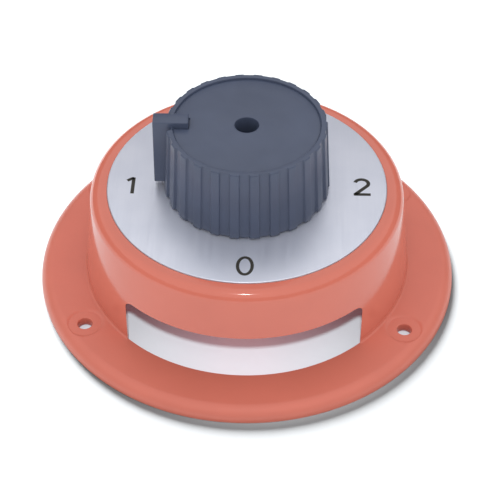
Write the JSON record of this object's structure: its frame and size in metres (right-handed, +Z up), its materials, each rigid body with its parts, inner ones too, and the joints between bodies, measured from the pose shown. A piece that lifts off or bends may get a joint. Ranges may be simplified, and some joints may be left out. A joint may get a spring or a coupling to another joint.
{
  "type": "rotary battery selector switch",
  "caption": "Surface-mount rotary battery selector switch: flanged drum housing with a cable window, a printed dial plate and a ribbed pointer knob that turns through click stops.",
  "frame": {"origin": "centre of the flange's underside, on the spindle axis, where the switch meets its mounting surface", "axes": "+Z up the spindle axis out of the knob; -Y out of the cable window and past position 0; -X past position 1; +X past position 2"},
  "size_m": [0.135, 0.135, 0.0612],
  "materials": {
    "red_moulding": "glossy moulded red-orange plastic",
    "dial_aluminium": "satin anodised sheet with black printed numerals",
    "knob_plastic": "satin slate-black moulded plastic",
    "black_insulation": "matt glass-filled insulating moulding",
    "brass": "machined",
    "copper": "stamped copper",
    "bright_steel": "zinc-plated",
    "dark_steel": "blackened",
    "spring_steel": "spring steel",
    "ball_steel": "polished",
    "seal_rubber": "nitrile",
    "nylon": "natural nylon"
  },
  "bodies": {
    "housing": {"housing": "red_moulding", "dial_plate": "dial_aluminium", "spindle_bush": "brass", "shaft_seal": "seal_rubber", "bush_washer": "bright_steel", "bush_nut": "brass", "detent_plate": "bright_steel", "detent_rivets": "bright_steel", "terminal_base": "black_insulation", "contact_1": "copper", "contact_2": "copper", "contact_common": "copper", "stud_1": "brass", "stud_2": "brass", "stud_common": "brass", "fixing_nuts": "brass", "plain_washers": "bright_steel", "spring_washers": "spring_steel", "cable_nuts": "brass", "base_screws": "bright_steel"},
    "knob": {"knob": "knob_plastic", "knob_insert": "brass", "knob_screw": "dark_steel", "spindle": "bright_steel", "thrust_washer": "nylon", "rotor": "black_insulation", "moving_contact": "copper", "contact_spring": "spring_steel", "drive_pins": "brass", "clip_washer": "bright_steel", "retaining_clip": "spring_steel", "detent_spring_rear": "spring_steel", "detent_spring_front": "spring_steel"},
    "detent_ball_rear": {"detent_ball_rear": "ball_steel"},
    "detent_ball_front": {"detent_ball_front": "ball_steel"}
  },
  "joints": [
    {"name": "knob_turn", "type": "hinge", "parent": "housing", "child": "knob", "pos_m": [0, 0, 0.045], "axis": [0, 0, 1], "continuous": true},
    {"name": "ball_rear_rise", "type": "slide", "parent": "knob", "child": "detent_ball_rear", "axis": [0, 0, 1], "range_m": [0, 0.0008], "stiffness_N_per_m": 400, "deforming": ["detent_spring_rear"]},
    {"name": "ball_front_rise", "type": "slide", "parent": "knob", "child": "detent_ball_front", "axis": [0, 0, 1], "range_m": [0, 0.0008], "stiffness_N_per_m": 400, "deforming": ["detent_spring_front"]}
  ]
}
